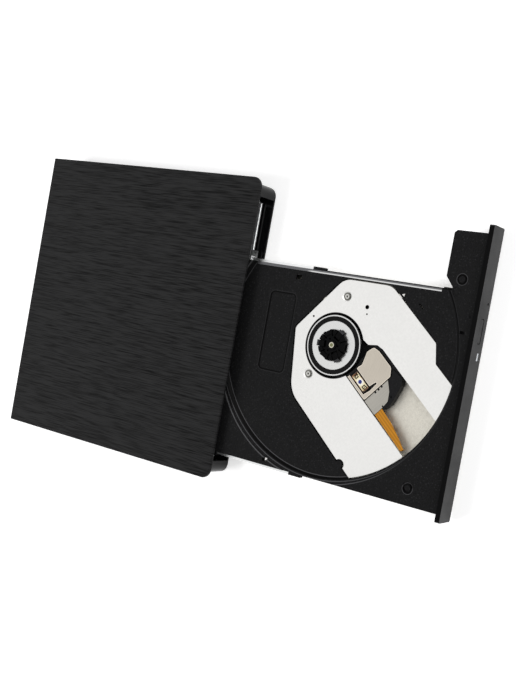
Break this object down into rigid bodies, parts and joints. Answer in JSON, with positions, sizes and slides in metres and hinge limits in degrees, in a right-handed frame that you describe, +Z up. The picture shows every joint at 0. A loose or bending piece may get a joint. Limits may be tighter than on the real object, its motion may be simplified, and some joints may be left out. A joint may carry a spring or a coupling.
{
  "type": "external disc drive",
  "caption": "Slim external disc drive with a brushed cover, glossy shell, telescoping disc tray, spring-claw spindle, sliding laser pickup and eject button.",
  "frame": {"origin": "on the table under the middle of the drive's footprint with its tray fully out", "axes": "+X right seen from the front, +Y from the front to the back, +Z up"},
  "size_m": [0.149, 0.2636, 0.0152],
  "materials": {
    "brushed_cover": "brushed satin",
    "gloss_shell": "glossy",
    "rubber": "matte",
    "screw_steel": "satin",
    "chassis_steel": "satin",
    "black_plastic": "fine texture",
    "tray_plastic": "fine speckle",
    "bezel_plastic": "fine texture",
    "dark_steel": "matte coat",
    "circuit_board": "solder mask",
    "chip": "matte",
    "ribbon": "satin",
    "plate_steel": "hairline",
    "turntable_metal": "satin",
    "pickup_metal": "satin",
    "bright_steel": "polished",
    "led_lens": "translucent",
    "cream_plastic": "satin",
    "lens_glass": "polished",
    "flex": "satin",
    "coil": "wound",
    "shaft_metal": "turned"
  },
  "bodies": {
    "case": {"top_cover": "brushed_cover", "base_shell": "gloss_shell", "rubber_feet": "rubber", "case_screws": "screw_steel", "chassis_pan": "chassis_steel", "chassis_lid": "chassis_steel", "chassis_screws": "screw_steel", "left_guide": "black_plastic", "right_guide": "bright_steel", "latch_post": "bright_steel", "main_board": "circuit_board", "main_board_chips": "chip", "drive_plug": "black_plastic", "tray_ribbon": "ribbon", "bridge_board": "circuit_board", "bridge_chips": "chip", "bridge_socket": "black_plastic", "usb_shell": "bright_steel", "usb_tongue": "chip"},
    "left_rail": {"left_rail": "bright_steel", "left_rail_cap": "black_plastic"},
    "right_rail": {"right_rail": "bright_steel", "right_rail_cap": "black_plastic"},
    "tray": {"tray_frame": "tray_plastic", "tray_bezel": "bezel_plastic", "tray_bottom_plate": "plate_steel", "right_runner": "bright_steel", "led_window": "led_lens", "front_board": "circuit_board", "eject_switch": "chip", "release_solenoid": "coil", "mech_plate": "plate_steel", "mech_plate_screws": "screw_steel", "traverse_base": "dark_steel", "traverse_dampers": "rubber", "spindle_motor_base": "dark_steel", "main_rod": "bright_steel", "second_rod": "bright_steel", "feed_bracket": "chassis_steel", "feed_motor": "bright_steel", "pickup_flex": "flex"},
    "eject_button": {"eject_button": "bezel_plastic"},
    "latch": {"latch_hook": "black_plastic"},
    "plunger": {"solenoid_plunger": "bright_steel"},
    "rotor": {"turntable": "turntable_metal", "friction_ring": "rubber", "clamp_hub": "black_plastic", "spindle_shaft": "shaft_metal"},
    "claw_1": {"clamp_claw_1": "black_plastic"},
    "claw_2": {"clamp_claw_2": "black_plastic"},
    "claw_3": {"clamp_claw_3": "black_plastic"},
    "lead_screw": {"lead_screw": "bright_steel"},
    "pickup": {"pickup_body": "black_plastic", "pickup_cover": "pickup_metal", "pickup_plate": "pickup_metal", "pickup_side_frame": "black_plastic", "rack_nut": "cream_plastic"},
    "lens": {"lens_holder": "cream_plastic", "objective_lens": "lens_glass"}
  },
  "joints": [
    {"name": "tray_slide", "type": "slide", "parent": "case", "child": "tray", "axis": [0, 1, 0], "range_m": [0, 0.1206], "deforming": ["tray_ribbon"]},
    {"name": "left_rail_slide", "type": "slide", "parent": "case", "child": "left_rail", "axis": [0, 1, 0], "range_m": [0, 0.0603]},
    {"name": "right_rail_slide", "type": "slide", "parent": "case", "child": "right_rail", "axis": [0, 1, 0], "range_m": [0, 0.0603]},
    {"name": "eject_button_press", "type": "slide", "parent": "tray", "child": "eject_button", "axis": [0, 1, 0], "range_m": [0, 0.0006], "stiffness_N_per_m": 400},
    {"name": "latch_pivot", "type": "hinge", "parent": "tray", "child": "latch", "pos_m": [0.045, -0.1222, 0.0061], "axis": [0, 0, 1], "range_deg": [0, 15]},
    {"name": "plunger_slide", "type": "slide", "parent": "tray", "child": "plunger", "axis": [1, 0, 0], "range_m": [0, 0.00105], "stiffness_N_per_m": 300},
    {"name": "spindle_spin", "type": "hinge", "parent": "tray", "child": "rotor", "pos_m": [0.0014, -0.0636, 0.0098], "axis": [0, 0, 1], "continuous": true},
    {"name": "sled_slide", "type": "slide", "parent": "tray", "child": "pickup", "axis": [-0.6428, -0.766, 0], "range_m": [0, 0.036], "deforming": ["pickup_flex"]},
    {"name": "lead_screw_spin", "type": "hinge", "parent": "tray", "child": "lead_screw", "pos_m": [-0.0162, -0.0628, 0.0065], "axis": [-0.6428, -0.766, 0], "range_deg": [0, 4320]},
    {"name": "lens_focus", "type": "slide", "parent": "pickup", "child": "lens", "axis": [0, 0, 1], "range_m": [-0.0004, 0.0004], "stiffness_N_per_m": 40},
    {"name": "claw_1_slide", "type": "slide", "parent": "rotor", "child": "claw_1", "axis": [0, 1, 0], "range_m": [-0.0007, 0], "stiffness_N_per_m": 150},
    {"name": "claw_2_slide", "type": "slide", "parent": "rotor", "child": "claw_2", "axis": [-0.866, -0.5, 0], "range_m": [-0.0007, 0], "stiffness_N_per_m": 150},
    {"name": "claw_3_slide", "type": "slide", "parent": "rotor", "child": "claw_3", "axis": [0.866, -0.5, 0], "range_m": [-0.0007, 0], "stiffness_N_per_m": 150}
  ],
  "couplings": [
    {"joint": "left_rail_slide", "follows": "tray_slide", "ratio": 0.5},
    {"joint": "right_rail_slide", "follows": "tray_slide", "ratio": 0.5},
    {"joint": "lead_screw_spin", "follows": "sled_slide", "rad_per_m": 2094.4},
    {"joint": "latch_pivot", "follows": "plunger_slide", "rad_per_m": 250}
  ]
}
